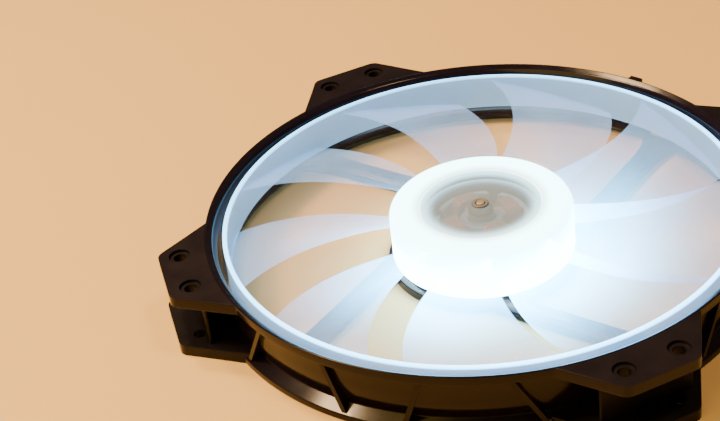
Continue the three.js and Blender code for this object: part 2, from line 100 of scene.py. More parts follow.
# Slanted ribs: degrees from the middle of their arc at foot and head
RIB_T = 1.9
RIB_SINK = 0.6
LONG_ARC_RIBS = ((6.0, 10.0), (33.0, 26.5))
SHORT_ARC_RIBS = ((3.0, 6.0), (23.0, 17.0))

# Struts, set off the shaft, and the way out for the lead
STRUT_DEG = 170.0
STRUT_OFFSET = 25.0
STRUT_START = 4.0
STRUT_HALF = 4.0
STRUT_FLARE = 8.5
STRUT_FLARE_LENGTH = 14.0
STRUT_END = 98.5
STRUT_Z = span_z("frame_strut_1")
LEAD_STRUT = 3
LEAD_GROOVE_X = (26.0, 91.0)
LEAD_GROOVE_HALF = 2.4
LEAD_GROOVE_DEPTH = 1.6
LEAD_OUTLET_X = (86.0, 110.0)
LEAD_OUTLET_HALF = 4.0
LEAD_OUTLET_Z = (3.8, 9.4)
HOOK_DEG = 74.0
HOOK_END = 103.0
HOOK_HALF = 2.6

# Motor base and label
BASE_R = radius_of("motor_base")
BASE_RIM_Z = span_z("motor_base")[1]
BASE_RIM_T = 1.3
BASE_FLOOR_Z = 2.6
LABEL_R = radius_of("rear_label")
LABEL_Z = span_z("rear_label")
LABEL_POCKET_R = LABEL_R + 0.5
LABEL_POCKET_Z = 0.9

# Impeller
BLADES = 9
BLADE_SPAN_DEG = 31.0
BLADE_ROOT_SPAN_DEG = 34.0
BLADE_SWEEP_DEG = 13.0
BLADE_T = 1.5
BLADE_Z = (11.6, 21.6)
BLADE_CAMBER = 1.6
BLADE_SINK = 0.3  # how far a blade is let into hub and ring
SHROUD_R = radius_of("impeller_ring")
SHROUD_T = 1.6
SHROUD_Z = span_z("impeller_ring")

HUB_R = radius_of("impeller_hub")
HUB_WALL = 1.7
HUB_TOP_T = 1.9
HUB_ROUND = 3.4
HUB_Z = span_z("impeller_hub")
COLLAR_T = 1.2
COLLAR_FOOT_Z = 14.0
WINDOW_R = radius_of("hub_window")
WINDOW_Z = span_z("hub_window")
WINDOW_HOLE_R = 3.2
WINDOW_BOSS_R = (4.8, 8.2)
WINDOW_BOSS_T = 1.6

# Shaft end
BUSH_BORE_R = 1.8
BUSH_NECK_R = 2.9
BUSH_SHOULDER_Z = 21.2

# Stator coils
POLES = 4
POLE_DEG = 50.0
COIL_Z = (6.7, 19.7)
COIL_HALF = 5.2
COIL_X = (8.4, 14.1)
WIRE_R = 0.3
WIRE_STEPS = 28  # straight pieces in one turn of wire

SMOOTH_DEG = 38.0
FINE = 240

# How the light is shared out: lengths in metres, strengths as in the emission sockets
BRIGHT_SIDE_DEG = 308.0  # where the lamps' glare is strongest, round the shaft
SPILL_REACH = (0.030, 0.090)  # the hub's light dies away between these radii
RING_EDGE = (0.0226, 0.0236)  # height over which the ring's bright upper edge begins
HUB_STRENGTH = (22.0, 11.0)  # at the foot, at the top
WINDOW_STRENGTH = (3.4, 0.30)  # added at the edge, everywhere
LAMP_STRENGTH = 14.0
MILKY_TRANSLUCENT = 0.35


# ---------------------------------------------------------------- mesh helpers

def link(name, mesh):
    piece = bpy.data.objects.new(name, mesh)
    bpy.context.scene.collection.objects.link(piece)
    return piece


def shade(mesh):
    for polygon in mesh.polygons:
        polygon.use_smooth = True
    mesh.set_sharp_from_angle(angle=math.radians(SMOOTH_DEG))


def from_bmesh(name, bm):
    """Turns a bmesh in millimetres into a linked object in metres."""
    bmesh.ops.recalc_face_normals(bm, faces=bm.faces)
    bmesh.ops.scale(bm, vec=(MM, MM, MM), verts=bm.verts)
    mesh = bpy.data.meshes.new(name)
    bm.to_mesh(mesh)
    bm.free()
    shade(mesh)
    return link(name, mesh)


def rounded(corners, radius, steps=4):
    """Closed outline with each corner replaced by a short curve. radius may be a list."""
    points = []
    count = len(corners)
    for i, corner in enumerate(corners):
        size = radius[i] if isinstance(radius, (list, tuple)) else radius
        here = Vector(corner)
        before = Vector(corners[i - 1])
        after = Vector(corners[(i + 1) % count])
        if size <= 0:
            points.append(here)
            continue
        enter = here + (before - here).normalized() * min(size, (before - here).length / 2)
        leave = here + (after - here).normalized() * min(size, (after - here).length / 2)
        for k in range(steps + 1):
            t = k / steps
            points.append(enter.lerp(here, t).lerp(here.lerp(leave, t), t))
    return points


def turned(name, outline, segments=FINE):
    """Turns a closed (radius, z) outline about Z. Points with radius 0 share one vertex."""
    bm = bmesh.new()
    columns = []
    poles = {i: bm.verts.new((0, 0, z)) for i, (r, z) in enumerate(outline) if r <= 0}
    for s in range(segments):
        angle = 2 * math.pi * s / segments
        column = []
        for i, (r, z) in enumerate(outline):
            if i in poles:
                column.append(poles[i])
            else:
                column.append(bm.verts.new((r * math.cos(angle), r * math.sin(angle), z)))
        columns.append(column)
    count = len(outline)
    for s in range(segments):
        a, b = columns[s], columns[(s + 1) % segments]
        for i in range(count):
            j = (i + 1) % count
            if i in poles and j in poles:
                continue
            corners = list(dict.fromkeys((a[i], b[i], b[j], a[j])))
            bm.faces.new(corners)
    return from_bmesh(name, bm)


def extruded(name, outline, z0, z1, edge=0.0, turn_deg=0.0):
    """Prism over a closed (x, y) outline, with its top and bottom edges rounded."""
    bm = bmesh.new()
    low = [bm.verts.new((x, y, z0)) for x, y in outline]
    high = [bm.verts.new((x, y, z1)) for x, y in outline]
    bm.faces.new(low)
    bm.faces.new(high)
    count = len(outline)
    for i in range(count):
        j = (i + 1) % count
        bm.faces.new((low[i], low[j], high[j], high[i]))
    if edge > 0:
        rims = [e for e in bm.edges if abs(e.verts[0].co.z - e.verts[1].co.z) < 1e-6]
        bmesh.ops.bevel(bm, geom=rims, offset=edge, segments=3, profile=0.5, affect="EDGES")
    bm.transform(Matrix.Rotation(math.radians(turn_deg), 4, "Z"))
    return from_bmesh(name, bm)


def block(name, x0, x1, y0, y1, z0, z1, turn_deg=0.0, edge=0.0):
    outline = [(x0, y0), (x1, y0), (x1, y1), (x0, y1)]
    return extruded(name, outline, z0, z1, edge, turn_deg)


def grid_solid(name, columns, rows, place):
    """Closed sheet: place(u, v, side) gives the point on the upper (1) or lower (-1) face."""
    bm = bmesh.new()
    sides = {}
    for side in (1, -1):
        for i in range(columns + 1):
            for j in range(rows + 1):
                sides[side, i, j] = bm.verts.new(place(i / columns, j / rows, side))
    for side in (1, -1):
        for i in range(columns):
            for j in range(rows):
                bm.faces.new([sides[side, i, j], sides[side, i + 1, j],
                              sides[side, i + 1, j + 1], sides[side, i, j + 1]])
    rim = [(i, 0) for i in range(columns)] + [(columns, j) for j in range(rows)]
    rim += [(i, rows) for i in range(columns, 0, -1)] + [(0, j) for j in range(rows, 0, -1)]
    for here, there in zip(rim, rim[1:] + rim[:1]):
        bm.faces.new([sides[(1, *here)], sides[(1, *there)],
                      sides[(-1, *there)], sides[(-1, *here)]])
    return from_bmesh(name, bm)


def combine(target, tools, operation):
    """Joins or cuts target with the tools, then deletes them."""
    for tool in tools:
        modifier = target.modifiers.new("combine", "BOOLEAN")
        modifier.solver = "MANIFOLD"
        modifier.operation = operation
        modifier.object = tool
    graph = bpy.context.evaluated_depsgraph_get()
    mesh = bpy.data.meshes.new_from_object(target.evaluated_get(graph))
    target.modifiers.clear()
    target.data = mesh
    for tool in tools:
        bpy.data.objects.remove(tool)
    shade(target.data)
    return target


def join(target, others):
    """Adds the others' meshes to the target as separate shells."""
    bm = bmesh.new()
    bm.from_mesh(target.data)
    for other in others:
        bm.from_mesh(other.data)
        bpy.data.objects.remove(other)
    bm.to_mesh(target.data)
    bm.free()
    shade(target.data)
    return target


# ---------------------------------------------------------------- material helpers

class Shader:
    """A small builder for one node material."""

    def __init__(self, name):
        self.material = bpy.data.materials.new(name)
        self.material.use_nodes = True
        self.tree = self.material.node_tree
        self.tree.nodes.clear()
        self.output = self.node("ShaderNodeOutputMaterial")
        self.place = self.node("ShaderNodeTexCoord").outputs["Object"]

    def node(self, kind, **values):
        node = self.tree.nodes.new(kind)
        for key, value in values.items():
            if hasattr(node, key):
                setattr(node, key, value)
            else:
                self.feed(node, key.replace("_", " "), value)
        return node

    def feed(self, node, socket, value):
        target = node.inputs[socket] if not isinstance(socket, bpy.types.NodeSocket) else socket
        if isinstance(value, bpy.types.NodeSocket):
            self.tree.links.new(value, target)
        else:
            target.default_value = value

    def noise(self, scale, detail=4.0, roughness=0.55):
        node = self.node("ShaderNodeTexNoise")
        self.feed(node, "Vector", self.place)
        self.feed(node, "Scale", scale)
        self.feed(node, "Detail", detail)
        self.feed(node, "Roughness", roughness)
        return node.outputs["Fac"]

    def ramp(self, value, low, high, out_low, out_high):
        node = self.node("ShaderNodeMapRange", clamp=True)
        node.interpolation_type = "SMOOTHSTEP"
        for socket, number in (("Value", value), ("From Min", low), ("From Max", high),
                               ("To Min", out_low), ("To Max", out_high)):
            self.feed(node, socket, number)
        return node.outputs["Result"]

    def mix_colour(self, factor, first, second):
        node = self.node("ShaderNodeMix", data_type="RGBA")
        self.feed(node, node.inputs[0], factor)
        self.feed(node, node.inputs[6], first)
        self.feed(node, node.inputs[7], second)
        return node.outputs[2]

    def maths(self, operation, *values):
        node = self.node("ShaderNodeMath", operation=operation)
        for socket, value in zip(node.inputs, values):
            self.feed(node, socket, value)
        return node.outputs[0]

    def axial(self):
        """Distance from the shaft and height, in metres."""
        split = self.node("ShaderNodeSeparateXYZ")
        self.feed(split, "Vector", self.place)
        x, y, z = split.outputs
        squares = self.maths("ADD", self.maths("MULTIPLY", x, x), self.maths("MULTIPLY", y, y))
        return self.maths("SQRT", squares), z

    def brighter_side(self):
        """1 on the side of the shaft where the lamps' glare is strongest, 0 opposite."""
        split = self.node("ShaderNodeSeparateXYZ")
        self.feed(split, "Vector", self.place)
        toward = math.radians(BRIGHT_SIDE_DEG)
        along_x = self.maths("MULTIPLY", split.outputs[0], math.cos(toward))
        along = self.maths("MULTIPLY_ADD", split.outputs[1], math.sin(toward), along_x)
        distance, _ = self.axial()
        share = self.maths("DIVIDE", along, self.maths("MAXIMUM", distance, 0.001))
        return self.maths("MULTIPLY_ADD", share, 0.5, 0.5)

    def bump(self, height, strength, distance):
        node = self.node("ShaderNodeBump")
        self.feed(node, "Height", height)
        self.feed(node, "Strength", strength)
        self.feed(node, "Distance", distance)
        return node.outputs["Normal"]

    def principled(self, **values):
        node = self.node("ShaderNodeBsdfPrincipled")
        for key, value in values.items():
            self.feed(node, key.replace("_", " "), value)
        return node

    def finish(self, shader):
        self.tree.links.new(shader, self.output.inputs["Surface"])
        return self.material


def black_plastic():
    """Glossy, but satin with a fine grain on the outer faces of the mounting corners."""
    s = Shader("black_plastic")
    distance, height = s.axial()
    rim, top_face = RING_R * MM, FRAME_H * MM
    beyond = s.ramp(distance, rim - 0.0004, rim + 0.0004, 0.0, 1.0)
    top = s.ramp(height, top_face - 0.0008, top_face - 0.0004, 0.0, 1.0)
    bottom = s.ramp(height, 0.0004, 0.0008, 1.0, 0.0)
    corner = s.maths("MULTIPLY", beyond, s.maths("ADD", top, bottom))
    mottle = s.noise(90.0)
    grain = s.noise(2600.0, 2.0)
    gloss = s.ramp(mottle, 0.3, 0.7, 0.13, 0.18)
    satin = s.ramp(mottle, 0.3, 0.7, 0.34, 0.44)
    blend = s.node("ShaderNodeMix", data_type="FLOAT")
    s.feed(blend, blend.inputs[0], corner)
    s.feed(blend, blend.inputs[2], gloss)
    s.feed(blend, blend.inputs[3], satin)
    colour = s.mix_colour(mottle, (0.0040, 0.0029, 0.0058, 1), (0.0068, 0.0046, 0.0088, 1))
    strength = s.maths("MULTIPLY", corner, 0.25)
    shader = s.principled(
        Base_Color=colour,
        Roughness=blend.outputs[0],
        Specular_IOR_Level=0.18,
        Normal=s.bump(grain, strength, 0.00012),
    )
    return s.finish(shader.outputs[0])


def milky_plastic(name, clear, glow, spill, rim, tint, shine):
    """Milky see-through moulding, lit from the hub.

    clear is the share seen straight through and glow the light it gives off all over. spill is
    what it gives off at the hub, dying away outwards and round to the far side, and rim what
    its upper edge gives off. tint and shine are the colours of the moulding and its light.
    """
    s = Shader(name)
    distance, height = s.axial()
    side = s.brighter_side()
    cloud = s.noise(35.0)
    near = s.maths("POWER", s.ramp(distance, *SPILL_REACH, 1.0, 0.0), 1.6)
    lamps = s.maths("MULTIPLY", near, s.maths("POWER", side, 2.5))
    edge = s.maths("MULTIPLY", s.ramp(height, *RING_EDGE, 0.0, 1.0),
                   s.maths("MULTIPLY_ADD", side, 0.65, 0.35))
    light = s.maths("MULTIPLY_ADD", lamps, spill, glow)
    light = s.maths("MULTIPLY_ADD", edge, rim, light)
    colour = s.mix_colour(cloud, tint, tuple(0.9 * c for c in tint[:3]) + (1,))
    skin = s.principled(Base_Color=colour, Roughness=s.ramp(cloud, 0.3, 0.7, 0.16, 0.26))
    s.feed(skin, "Emission Color", shine)
    s.feed(skin, "Emission Strength", light)
    through = s.node("ShaderNodeBsdfTranslucent")
    s.feed(through, "Color", colour)
    body = s.node("ShaderNodeMixShader")
    s.feed(body, "Fac", MILKY_TRANSLUCENT)
    s.tree.links.new(skin.outputs[0], body.inputs[1])
    s.tree.links.new(through.outputs[0], body.inputs[2])
    empty = s.node("ShaderNodeBsdfTransparent")
    s.feed(empty, "Color", (0.98, 0.90, 1.0, 1))
    mixed = s.node("ShaderNodeMixShader")
    s.feed(mixed, "Fac", s.ramp(cloud, 0.3, 0.7, clear - 0.03, clear + 0.03))
    s.tree.links.new(body.outputs[0], mixed.inputs[1])
    s.tree.links.new(empty.outputs[0], mixed.inputs[2])
    return s.finish(mixed.outputs[0])


def glowing_plastic():
    """The hub: milky plastic lit from inside, brightest at its foot."""
    s = Shader("glowing_hub")
    distance, height = s.axial()
    cloud = s.noise(60.0)
    foot = s.ramp(height, 0.005, 0.020, *HUB_STRENGTH)
    light = s.mix_colour(s.ramp(height, 0.012, 0.0225, 0.0, 1.0),
                         (0.62, 0.90, 1.0, 1), (0.34, 0.88, 1.0, 1))
    rim = s.ramp(distance, 0.0210, 0.0265, 0.22, 1.0)
    colour = s.mix_colour(cloud, (0.86, 0.95, 1.0, 1), (0.93, 0.98, 1.0, 1))
    shader = s.principled(Base_Color=colour, Roughness=s.ramp(cloud, 0.3, 0.7, 0.25, 0.35))
    s.feed(shader, "Emission Color", light)
    s.feed(shader, "Emission Strength", s.maths("MULTIPLY", foot, rim))
    return s.finish(shader.outputs[0])


def clear_window():
    """The polished disc in the hub: grey and clear, bleeding light at its edge."""
    s = Shader("clear_window")
    distance, _ = s.axial()
    haze = s.noise(240.0)
    edge = s.ramp(distance, 0.0160, 0.0225, 0.0, 1.0)
    skin = s.principled(
        Base_Color=s.mix_colour(haze, (0.24, 0.28, 0.30, 1), (0.30, 0.34, 0.36, 1)),
        Roughness=s.ramp(haze, 0.3, 0.7, 0.10, 0.18),
    )
    s.feed(skin, "Emission Color", (0.45, 0.88, 1.0, 1))
    s.feed(skin, "Emission Strength", s.maths("MULTIPLY_ADD", edge, *WINDOW_STRENGTH))
    empty = s.node("ShaderNodeBsdfTransparent")
    s.feed(empty, "Color", (0.86, 0.90, 1.0, 1))
    mixed = s.node("ShaderNodeMixShader")
    s.feed(mixed, "Fac", s.ramp(edge, 0.0, 1.0, 0.60, 0.08))
    s.tree.links.new(skin.outputs[0], mixed.inputs[1])
    s.tree.links.new(empty.outputs[0], mixed.inputs[2])
    return s.finish(mixed.outputs[0])


def plain(name, low, high, roughness, metallic=0.0, scale=150.0, bump=0.0, specular=0.5):
    """Small inner parts: mottled colour and roughness, with an optional fine bump."""
    s = Shader(name)
    mottle = s.noise(scale)
    shader = s.principled(
        Base_Color=s.mix_colour(mottle, low, high),
        Roughness=s.ramp(mottle, 0.3, 0.7, roughness * 0.85, roughness * 1.15),
        Metallic=metallic,
        Specular_IOR_Level=specular,
    )
    if bump:
        s.feed(shader, "Normal", s.bump(s.noise(scale * 12, 2.0), bump, 0.00008))
    return s.finish(shader.outputs[0])


def lamp_lens():
    s = Shader("lamp_lens")
    mottle = s.noise(900.0)
    shader = s.principled(Base_Color=(0.9, 0.97, 1.0, 1), Roughness=0.3)
    s.feed(shader, "Emission Color", s.mix_colour(mottle, (0.60, 0.88, 1, 1), (0.75, 0.94, 1, 1)))
    s.feed(shader, "Emission Strength", LAMP_STRENGTH)
    return s.finish(shader.outputs[0])


def blank_label():
    """Dark sticker with two plain rings and no lettering."""
    s = Shader("blank_label")
    distance, _ = s.axial()
    fibre = s.noise(1200.0, 3.0)
    outer = s.maths("COMPARE", distance, 0.0275, 0.0003)
    inner = s.maths("COMPARE", distance, 0.0080, 0.0003)
    lines = s.maths("ADD", outer, inner)
    ground = s.mix_colour(fibre, (0.020, 0.020, 0.022, 1), (0.034, 0.034, 0.037, 1))
    shader = s.principled(
        Base_Color=s.mix_colour(lines, ground, (0.35, 0.36, 0.38, 1)),
        Roughness=s.ramp(fibre, 0.3, 0.7, 0.42, 0.55),
    )
    return s.finish(shader.outputs[0])


def pale_floor():
    s = Shader("pale_floor")
    cloud = s.noise(3.0, 6.0)
    shader = s.principled(
        Base_Color=s.mix_colour(cloud, (0.58, 0.41, 0.17, 1), (0.61, 0.435, 0.18, 1)),
        Roughness=s.ramp(cloud, 0.3, 0.7, 0.55, 0.65),
        Specular_IOR_Level=0.12,
    )
    return s.finish(shader.outputs[0])


BLACK = black_plastic()
# Painted shade: a duller, less reflective copy of the black plastic for the faces inside the corners'
# pockets and screw holes, so that these read darker than the same plastic outside.
RECESS_SHADE = plain("black_recess_painted_shade", (0.0040, 0.0036, 0.0050, 1), (0.0066, 0.0054, 0.0076, 1), 0.4, 0.0,
               90.0, specular=0.12)
RING_MILKY = milky_plastic(
    "milky_ring", clear=0.36, glow=0.55, spill=0.0, rim=20.0,
    tint=(0.40, 0.58, 0.74, 1), shine=(0.16, 0.62, 1.0, 1),
)
BLADE_MILKY = milky_plastic(
    "milky_blade", clear=0.80, glow=2.4, spill=110.0, rim=0.0,
    tint=(0.52, 0.62, 0.76, 1), shine=(0.10, 0.58, 1.0, 1),
)
GLOW = glowing_plastic()
WINDOW = clear_window()
COPPER = plain("enamelled_copper", (0.88, 0.30, 0.17, 1), (0.97, 0.38, 0.24, 1), 0.32, 0.5, 400.0)
STEEL = plain("steel", (0.42, 0.42, 0.43, 1), (0.52, 0.52, 0.53, 1), 0.30, 1.0, 500.0, 0.1)
SHAFT_STEEL = plain("shaft_steel", (0.36, 0.35, 0.34, 1), (0.44, 0.43, 0.42, 1), 0.45, 0.6, 500.0)
FERRITE = plain("ferrite", (0.035, 0.035, 0.037, 1), (0.06, 0.06, 0.062, 1), 0.7, 0.0, 700.0, 0.3)
WHITE = plain("white_plastic", (0.70, 0.69, 0.64, 1), (0.80, 0.79, 0.74, 1), 0.45, 0.0, 300.0)
DARK = plain("dark_plastic", (0.020, 0.018, 0.017, 1), (0.034, 0.031, 0.029, 1), 0.45, 0.0, 400.0, 0.2)
GREY = plain("grey_plastic", (0.12, 0.125, 0.13, 1), (0.16, 0.165, 0.17, 1), 0.5, 0.0, 400.0, 0.2)
BRONZE = plain("sintered_bronze", (0.36, 0.22, 0.10, 1), (0.48, 0.31, 0.15, 1), 0.55, 0.9, 900.0, 0.4)
BRASS = plain("brass", (0.56, 0.41, 0.17, 1), (0.66, 0.50, 0.23, 1), 0.32, 1.0, 400.0)
BOARD = plain("board_green", (0.012, 0.075, 0.030, 1), (0.020, 0.115, 0.048, 1), 0.40, 0.0, 220.0, 0.2)
LENS = lamp_lens()
LABEL = blank_label()


def dress(piece, material, body):
    piece.data.materials.clear()
    piece.data.materials.append(material)
    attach(piece, body)
    return piece


# ---------------------------------------------------------------- frame moulding

def duct_outside():
    corners = [
        (0, 0), (RING_R, 0), (RING_R, FLANGE_RIM_T), (WALL_FOOT_R, FLANGE_T), WALL_WAIST,
        (WALL_R, BAND_Z), (RING_R, BAND_Z + 0.3), (RING_R, FRAME_H), (0, FRAME_H),
    ]
    return turned("frame_body", rounded(corners, [0, 0.6, 0.3, 0.3, 4.0, 0.5, 0.4, 0.4, 0]))


def duct_void():
    """The space inside the duct: flared exit, narrow part, throat and rounded intake lip."""
    top = FRAME_H + OVER
    corners = [
        (0, -OVER), (EXIT_LIP_R, -OVER), (EXIT_LIP_R, 0), (EXIT_R, EXIT_Z[0]), (EXIT_R, EXIT_Z[1]),
        (THROAT_R, THROAT_Z[0]), (THROAT_R, THROAT_Z[1]), *MOUTH,
        (CREST_IN_R - 0.25, CREST_IN_Z - 0.13), (CREST_IN_R, CREST_IN_Z), (CREST_IN_R + 0.2, top),
        (0, top),
    ]
    return turned("void", rounded(corners, [0, 0, 0.3, 1.0, 1.0, 1.2, 1.4, 0.9, 0.3, 0, 0, 0, 0]))


def corner_parts(direction):
    """Two plates, with one wall along the corner and one across it in between."""
    root_half = EAR_HALF + (EAR_END - EAR_ROOT) * EAR_SLOPE
    corners = [(EAR_ROOT, -root_half), (EAR_END, -EAR_HALF), (EAR_END, EAR_HALF), (EAR_ROOT, root_half)]
    outline = rounded(corners, [0, 2.2, 2.2, 0], 6)
    inner = THROAT_R + 1.4
    low, high = PLATE_T - WALL_SINK, FRAME_H - PLATE_T + WALL_SINK
    near, far = CROSS_X - CROSS_T / 2, CROSS_X + CROSS_T / 2
    cross = rounded([(near, -CROSS_HALF), (far, -CROSS_HALF), (far, CROSS_HALF), (near, CROSS_HALF)], 0.55)
    return [
        extruded("plate_low", outline, 0, PLATE_T, PLATE_EDGE, direction),
        extruded("plate_high", outline, FRAME_H - PLATE_T, FRAME_H, PLATE_EDGE, direction),
        block("web", inner, CROSS_X, -WEB_T / 2, WEB_T / 2, low, high, direction),
        extruded("cross", cross, low, high, 0, direction),
    ]


def rib(middle, foot, head):
    """One slanted rib, let into the wall, the flange and the band."""
    half = math.degrees(RIB_T / 2 / RING_R)
    inner, outer = WALL_FOOT_R - RIB_SINK, RING_R - RIB_SINK
    bm = bmesh.new()
    rings = []
    for degrees, z in ((foot, FLANGE_RIM_T - 0.4), (head, BAND_Z + 0.5)):
        row = []
        for side, radius in ((-half, inner), (half, inner), (half, outer), (-half, outer)):
            angle = math.radians(middle + degrees + side)
            row.append(bm.verts.new((radius * math.cos(angle), radius * math.sin(angle), z)))
        rings.append(row)
    bm.faces.new(rings[0])
    bm.faces.new(rings[1])
    for i in range(4):
        j = (i + 1) % 4
        bm.faces.new((rings[0][i], rings[0][j], rings[1][j], rings[1][i]))
    return from_bmesh("rib", bm)


def ribs():
    found = []
    for middle in (0, 90, 180, 270):
        pattern = SHORT_ARC_RIBS if middle % 180 == 0 else LONG_ARC_RIBS
        for foot, head in pattern:
            found += [rib(middle, foot, head), rib(middle, -foot, -head)]
    return found


def strut_reach():
    """The space in which a strut stays: it ends inside the wall, under the flared exit."""
    inside_wall = EXIT_LIP_R + 0.5
    top = STRUT_Z[1] + 0.1
    corners = [(0, -OVER), (inside_wall, -OVER), (inside_wall, 2.2), (96.3, top), (0, top)]
    return turned("reach", corners)


def strut(index):
    """A bar set off the shaft that widens at the wall; one of them has the lead's groove."""
    bend = STRUT_END - STRUT_FLARE_LENGTH
    corners = [
        (STRUT_START, -STRUT_HALF), (bend, -STRUT_HALF), (STRUT_END, -STRUT_FLARE),
        (STRUT_END, STRUT_FLARE), (bend, STRUT_HALF), (STRUT_START, STRUT_HALF),
    ]
    outline = rounded(corners, [0, 9, 0, 0, 9, 0], 8)
    shifted = [(x, y - STRUT_OFFSET) for x, y in outline]
    turn = STRUT_DEG + 90 * index
    bar = extruded("strut", shifted, STRUT_Z[0], STRUT_Z[1] - 0.05, 0.5, turn)
    if index == LEAD_STRUT:
        floor = STRUT_Z[1] - LEAD_GROOVE_DEPTH
        groove = block("groove", *LEAD_GROOVE_X, -STRUT_OFFSET - LEAD_GROOVE_HALF,
                       -STRUT_OFFSET + LEAD_GROOVE_HALF, floor, STRUT_Z[1] + OVER, turn)
        bar = combine(bar, [groove], "DIFFERENCE")
    return combine(bar, [strut_reach()], "INTERSECT")


def base_tray():
    """Motor base: a shallow tray with a pocket for the label underneath."""
    rim_in = BASE_R - BASE_RIM_T
    corners = [
        (0, LABEL_POCKET_Z), (LABEL_POCKET_R, LABEL_POCKET_Z), (LABEL_POCKET_R, 0), (BASE_R, 0),
        (BASE_R, BASE_RIM_Z), (rim_in, BASE_RIM_Z), (rim_in, BASE_FLOOR_Z), (0, BASE_FLOOR_Z),
    ]
    return turned("tray", rounded(corners, [0, 0.1, 0.2, 0.6, 0.3, 0.3, 0.2, 0]), 192)


def lead_hook():
    return block("hook", RING_R - 1, HOOK_END, -HOOK_HALF, HOOK_HALF, BAND_Z + 0.6, FRAME_H - 0.4,
                 HOOK_DEG, 0.5)


def lead_outlet():
    return block("outlet", *LEAD_OUTLET_X, -STRUT_OFFSET - LEAD_OUTLET_HALF,
                 -STRUT_OFFSET + LEAD_OUTLET_HALF, *LEAD_OUTLET_Z,
                 STRUT_DEG + 90 * LEAD_STRUT, 0)


def hole_cutters():
    """A screw hole through both plates, dished at either face, for each of the eight places."""
    low, high, top = DISH_DEPTH, FRAME_H - DISH_DEPTH, FRAME_H + OVER
    floor_r = DISH_R - DISH_TAPER
    outline = [(0, -OVER), (DISH_R, -OVER), (floor_r, low), (HOLE_R, low), (HOLE_R, high),
               (floor_r, high), (DISH_R, top), (0, top)]
    cutters = []
    for x, y in HOLES:
        for sx, sy in ((1, 1), (-1, 1), (-1, -1), (1, -1)):
            cutter = turned("hole", outline, 40)
            cutter.data.transform(Matrix.Translation((sx * x * MM, sy * y * MM, 0)))
            cutters.append(cutter)
    return cutters


def in_recess(point):
    """True inside a corner's pocket or in one of its screw holes, for a point in millimetres."""
    if math.hypot(point.x, point.y) < RING_R + 0.3:
        return False
    if PLATE_T - 0.05 < point.z < FRAME_H - PLATE_T + 0.05:
        return True
    axes = [math.hypot(abs(point.x) - x, abs(point.y) - y) for x, y in HOLES]
    return min(axes) < DISH_R + 0.1 and 0.1 < point.z < FRAME_H - 0.1


def frame_body():
    body = duct_outside()
    additions = [part for direction in EAR_DIRECTIONS for part in corner_parts(direction)]
    body = combine(body, additions + ribs() + [lead_hook()], "UNION")
    body = combine(body, [duct_void()] + hole_cutters() + [lead_outlet()], "DIFFERENCE")
    body = combine(body, [strut(i) for i in range(4)] + [base_tray()], "UNION")
    nodes = ["frame_duct", "motor_base"]
    nodes += [f"frame_{kind}_{i}" for kind in ("corner", "strut") for i in range(1, 5)]
    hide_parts(*nodes)
    dress(body, BLACK, "housing")
    # The pockets and screw holes take the less reflective copy of the black plastic: painted shade.
    body.data.materials.append(RECESS_SHADE)
    for polygon in body.data.polygons:
        polygon.material_index = int(in_recess(polygon.center / MM))
    return body


# ---------------------------------------------------------------- impeller

def blade(index):
    """Same curve as the CAD blade, with rounded edges and let into hub and ring."""
    r_in = HUB_R - BLADE_SINK
    r_out = SHROUD_R - SHROUD_T + BLADE_SINK

    def place(u, v, side):
        radius = r_in + (r_out - r_in) * v
        span = BLADE_ROOT_SPAN_DEG + (BLADE_SPAN_DEG - BLADE_ROOT_SPAN_DEG) * v
        angle = math.radians(360 / BLADES * index + span * (u - 0.5) + BLADE_SWEEP_DEG * v * v)
        hump = math.sin(math.pi * u)
        lift = side * BLADE_T / 2 * max(0.12, hump) ** 0.45
        z = BLADE_Z[0] + (BLADE_Z[1] - BLADE_Z[0]) * u - BLADE_CAMBER * hump + lift
        return radius * math.cos(angle), radius * math.sin(angle), z

    piece = grid_solid(f"blade_skin_{index + 1}", 28, 20, place)
    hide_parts(f"blade_{index + 1}")
    return dress(piece, BLADE_MILKY, "rotor")


def shroud():
    inner = SHROUD_R - SHROUD_T
    low, high = SHROUD_Z
    corners = [(inner, low), (SHROUD_R, low), (SHROUD_R, high), (inner, high)]
    piece = turned("impeller_shroud", rounded(corners, 0.6, 5))
    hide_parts("impeller_ring")
    return dress(piece, RING_MILKY, "rotor")


def hub_shell():
    """Cup over the motor, with a collar round the window."""
    low, high = HUB_Z
    wall = HUB_R - HUB_WALL
    collar = WINDOW_R + 0.3
    collar_out = collar + COLLAR_T
    ceiling = high - HUB_TOP_T
    corners = [
        (wall, low), (HUB_R, low), (HUB_R, high), (collar, high), (collar, COLLAR_FOOT_Z),
        (collar_out, COLLAR_FOOT_Z), (collar_out, ceiling), (wall, ceiling),
    ]
    radii = [0.4, 0.4, HUB_ROUND, 0.3, 0.3, 0.3, 0.5, 1.2]
    piece = turned("hub_shell", rounded(corners, radii, 7), 192)
    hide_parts("impeller_hub")
    return dress(piece, GLOW, "rotor")


def window_disc():
    """Clear disc with a thicker boss under its middle, round the bush."""
    low, high = WINDOW_Z
    boss_in, boss_out = WINDOW_BOSS_R
    boss_low = low - WINDOW_BOSS_T
    corners = [
        (WINDOW_HOLE_R, low), (boss_in, low), (boss_in, boss_low), (boss_out, boss_low),
        (boss_out, low), (WINDOW_R, low), (WINDOW_R, high), (WINDOW_HOLE_R, high),
    ]
    piece = turned("window_disc", rounded(corners, 0.3), 160)
    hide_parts("hub_window")
    return dress(piece, WINDOW, "rotor")


def bush():
    low, high = span_z("shaft_bush")
    outer = radius_of("shaft_bush")
    corners = [
        (BUSH_BORE_R, low), (outer, low), (outer, BUSH_SHOULDER_Z), (BUSH_NECK_R, BUSH_SHOULDER_Z),
        (BUSH_NECK_R, high), (BUSH_BORE_R, high),
    ]
    piece = turned("bush", rounded(corners, 0.25), 64)
    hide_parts("shaft_bush")
    return dress(piece, GREY, "rotor")


